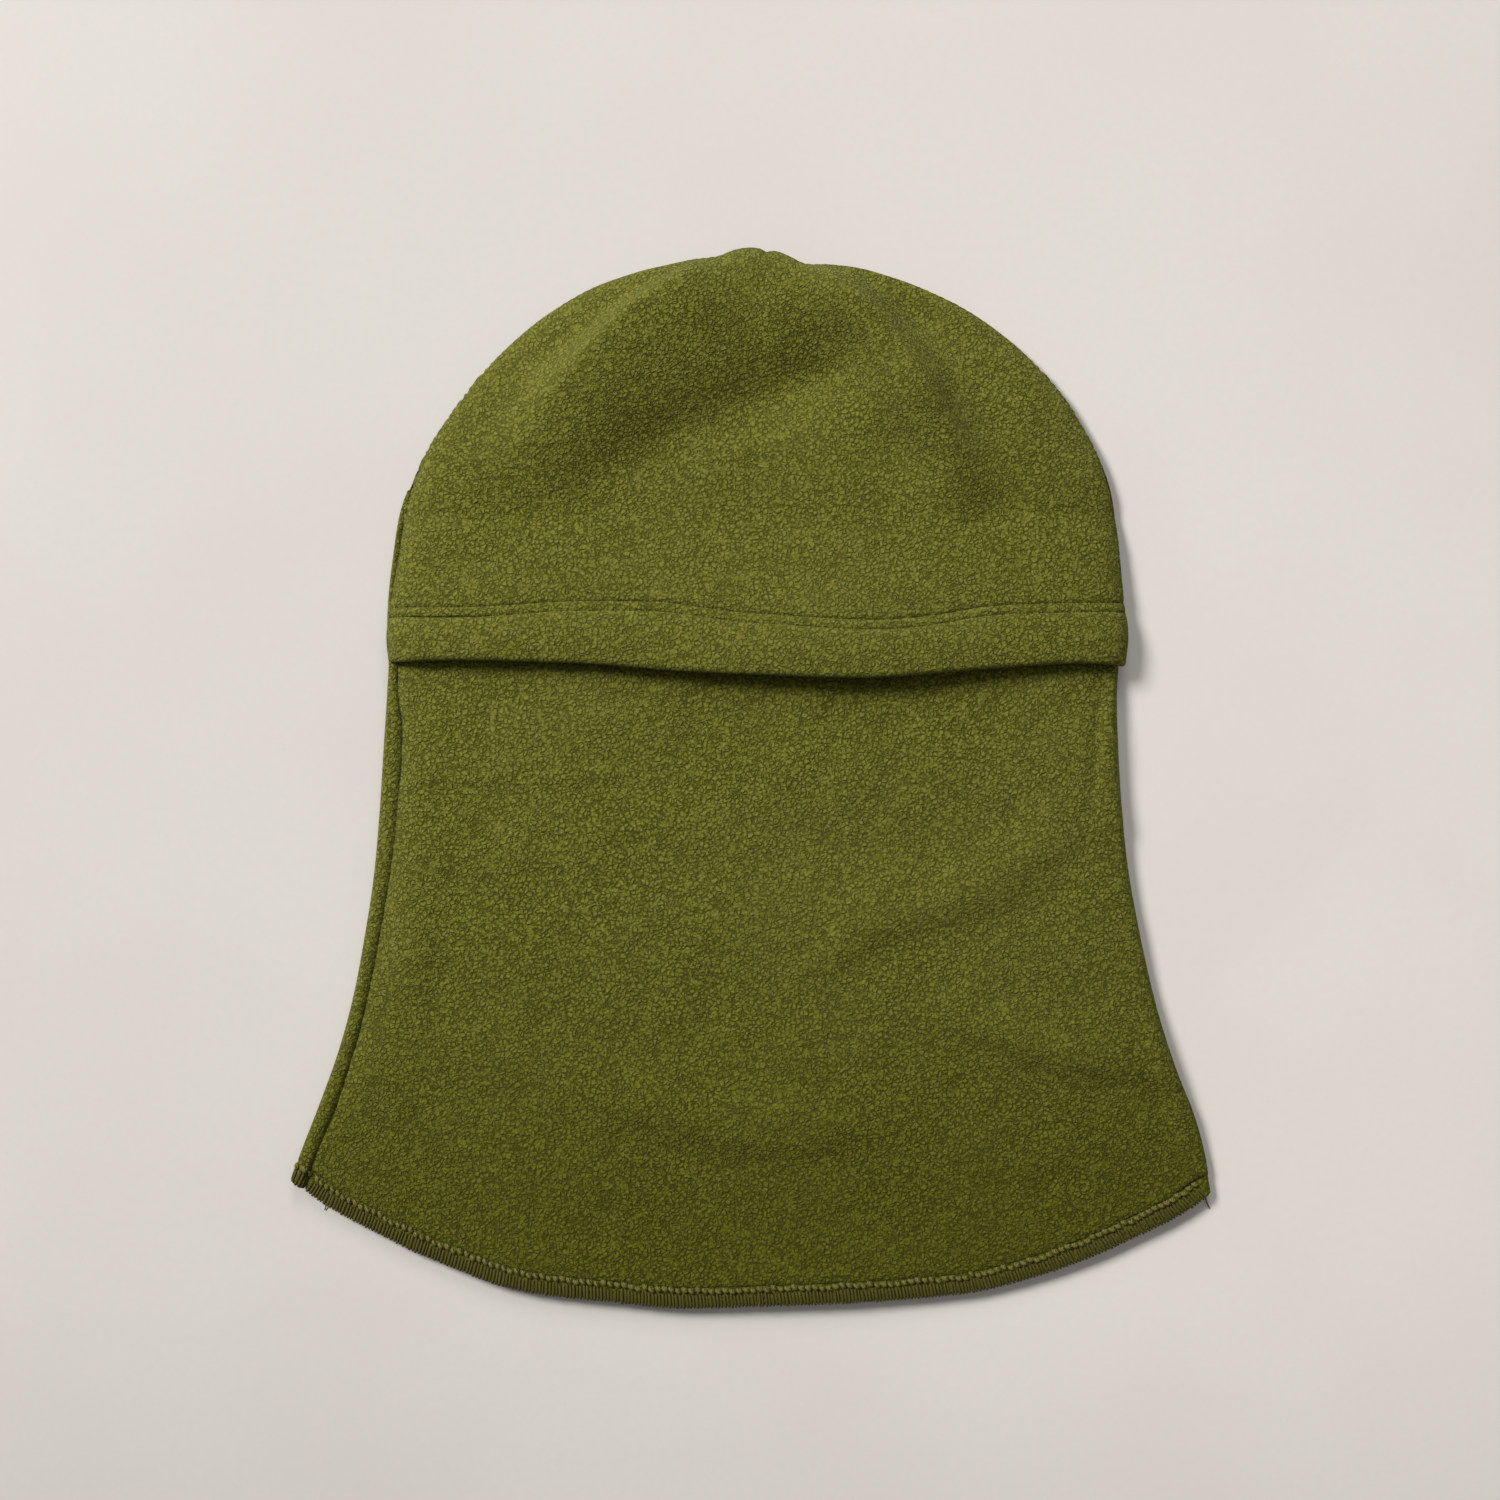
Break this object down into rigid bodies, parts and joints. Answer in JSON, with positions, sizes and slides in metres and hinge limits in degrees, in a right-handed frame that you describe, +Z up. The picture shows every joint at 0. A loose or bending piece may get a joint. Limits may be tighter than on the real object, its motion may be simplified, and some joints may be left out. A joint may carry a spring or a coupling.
{
  "type": "balaclava",
  "caption": "Green fleece balaclava laid flat, front side up: domed crown with a stitched brow hem over a flared face and neck panel.",
  "frame": {"origin": "under the middle of the plan, on the surface that the hat lies on", "axes": "+Z up from that surface, +Y towards the crown, +X across the hat to the right when it is seen from above"},
  "size_m": [0.334, 0.384, 0.0269],
  "materials": {
    "fleece": "matte",
    "thread": "matte"
  },
  "bodies": {
    "root": {"back_panel": "fleece", "crown_front_panel": "fleece", "brow_hem_turnup": "fleece", "brow_needle_thread_lower": "thread", "brow_needle_thread_upper": "thread", "brow_looper_thread": "thread", "face_panel": "fleece", "face_hem_turnup": "fleece", "face_needle_thread_lower": "thread", "face_needle_thread_upper": "thread", "face_looper_thread": "thread", "left_seam_allowance": "fleece", "right_seam_allowance": "fleece", "left_seam_thread": "thread", "right_seam_thread": "thread", "crown_dart_allowance": "fleece", "crown_dart_thread": "thread", "front_neck_overlock": "thread", "back_neck_overlock": "thread", "front_neck_needle_thread": "thread", "back_neck_needle_thread": "thread"}
  },
  "joints": []
}
